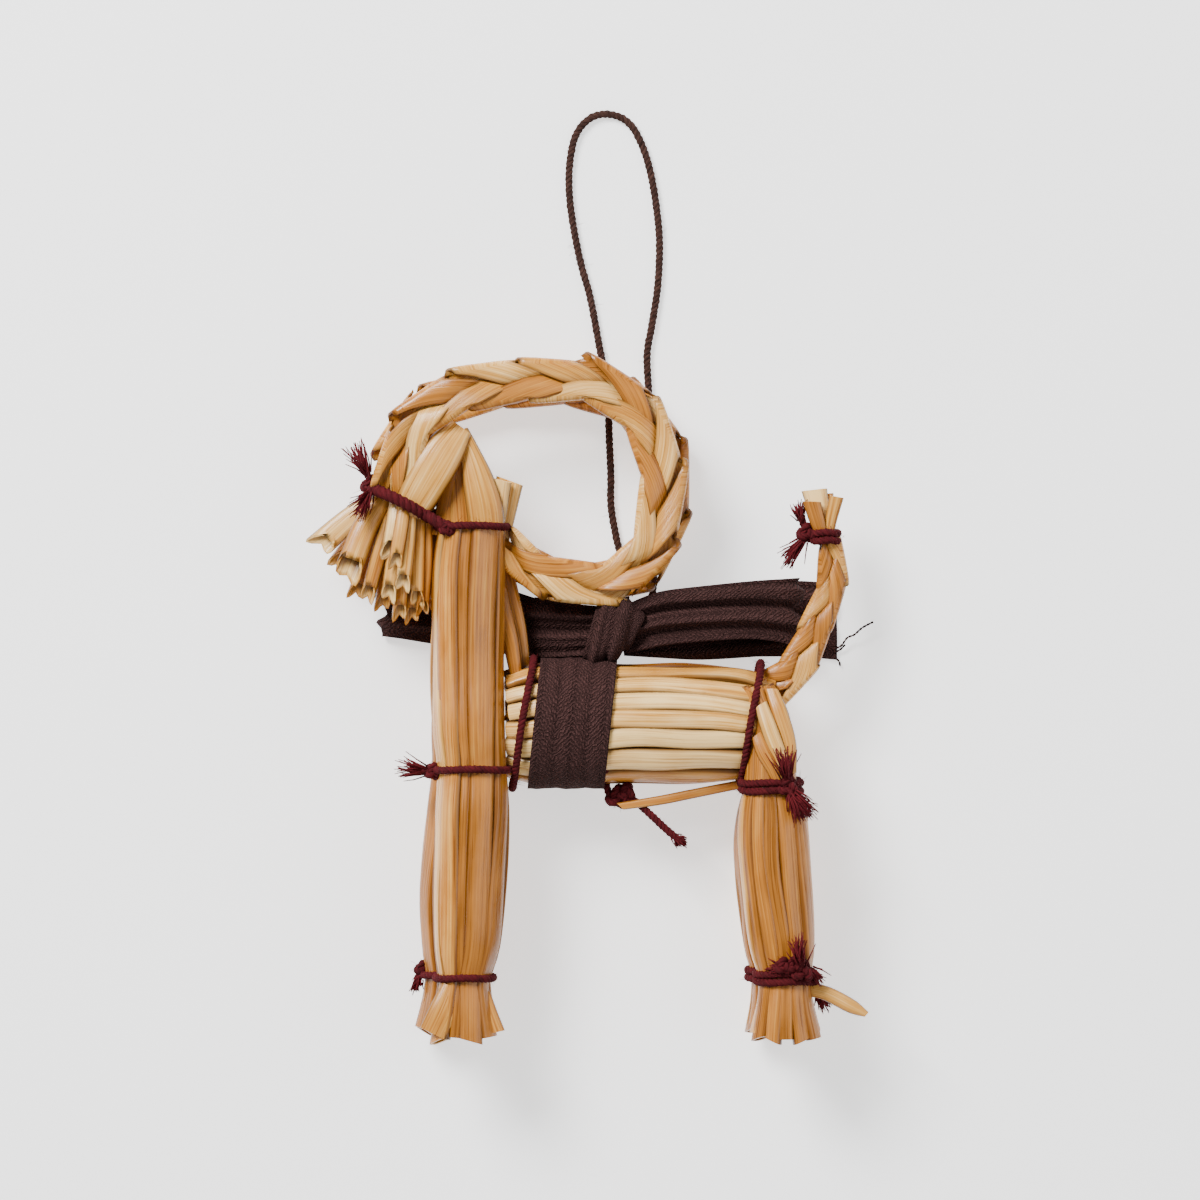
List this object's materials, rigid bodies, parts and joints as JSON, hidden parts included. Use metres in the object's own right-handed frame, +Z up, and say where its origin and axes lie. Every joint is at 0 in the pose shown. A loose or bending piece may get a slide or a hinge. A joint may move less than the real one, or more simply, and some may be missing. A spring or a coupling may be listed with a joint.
{
  "type": "straw ornament",
  "caption": "Plaited straw goat ornament lying on its side, with ring-shaped horns, yarn ties, a ribbon bow and a hanging loop of cord.",
  "frame": {"origin": "on the table, under the middle of the goat's extent without its hanging loop", "axes": "+X from the beard towards the rump, +Y from the feet towards the horns, +Z up from the table to the goat's near side"},
  "size_m": [0.0998, 0.167, 0.0249],
  "materials": {
    "straw": "satin dried straw",
    "burgundy_yarn": "twisted yarn",
    "brown_tape": "herringbone tape",
    "brown_cord": "twisted cord"
  },
  "bodies": {
    "root": {"head_and_front_legs": "straw", "torso_and_hind_legs": "straw", "horn_near": "straw", "horn_far": "straw", "tail_plait": "straw", "loose_belly_straw": "straw", "muzzle_tie": "burgundy_yarn", "neck_tie": "burgundy_yarn", "chest_tie": "burgundy_yarn", "belly_tie": "burgundy_yarn", "rump_tie": "burgundy_yarn", "tail_tie": "burgundy_yarn", "front_leg_tie_near": "burgundy_yarn", "front_leg_tie_far": "burgundy_yarn", "front_foot_tie_near": "burgundy_yarn", "front_foot_tie_far": "burgundy_yarn", "hind_leg_tie_near": "burgundy_yarn", "hind_leg_tie_far": "burgundy_yarn", "hind_foot_tie_near": "burgundy_yarn", "hind_foot_tie_far": "burgundy_yarn", "belly_ribbon": "brown_tape", "hanging_loop": "brown_cord"}
  },
  "joints": []
}
